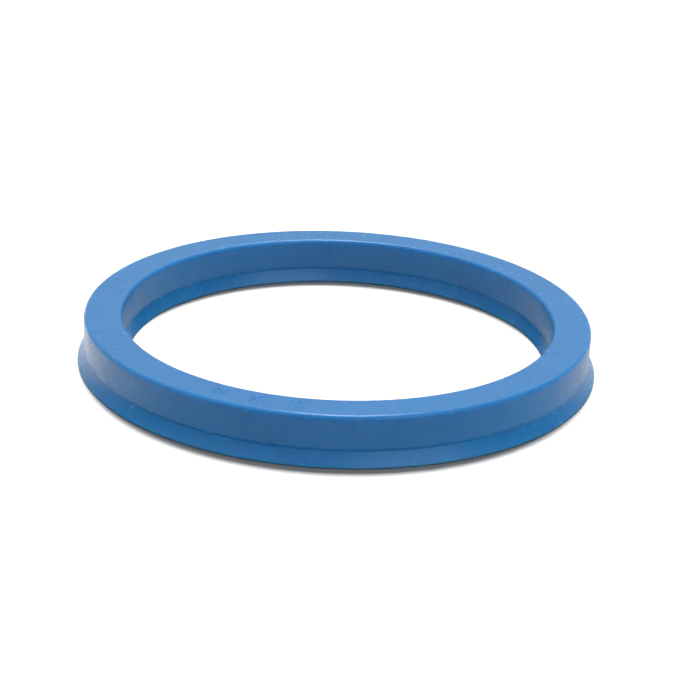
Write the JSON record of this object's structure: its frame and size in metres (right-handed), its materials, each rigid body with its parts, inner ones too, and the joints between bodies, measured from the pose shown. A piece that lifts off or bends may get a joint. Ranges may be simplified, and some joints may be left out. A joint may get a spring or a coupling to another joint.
{
  "type": "u-ring lip seal",
  "caption": "Moulded polyurethane U-ring seal: a flat heel above an inner and an outer sealing lip, with a pressure groove between the lips.",
  "frame": {"origin": "centre of the ring on the plane that the two lips rest on", "axes": "+Z along the ring's axis, from the lips up to the flat heel; X and Y lie in the base plane and are alike all round"},
  "size_m": [0.0766, 0.0766, 0.007],
  "materials": {
    "blue_polyurethane": "satin moulded polyurethane, slightly translucent"
  },
  "bodies": {
    "root": {"seal_ring": "blue_polyurethane"}
  },
  "joints": []
}
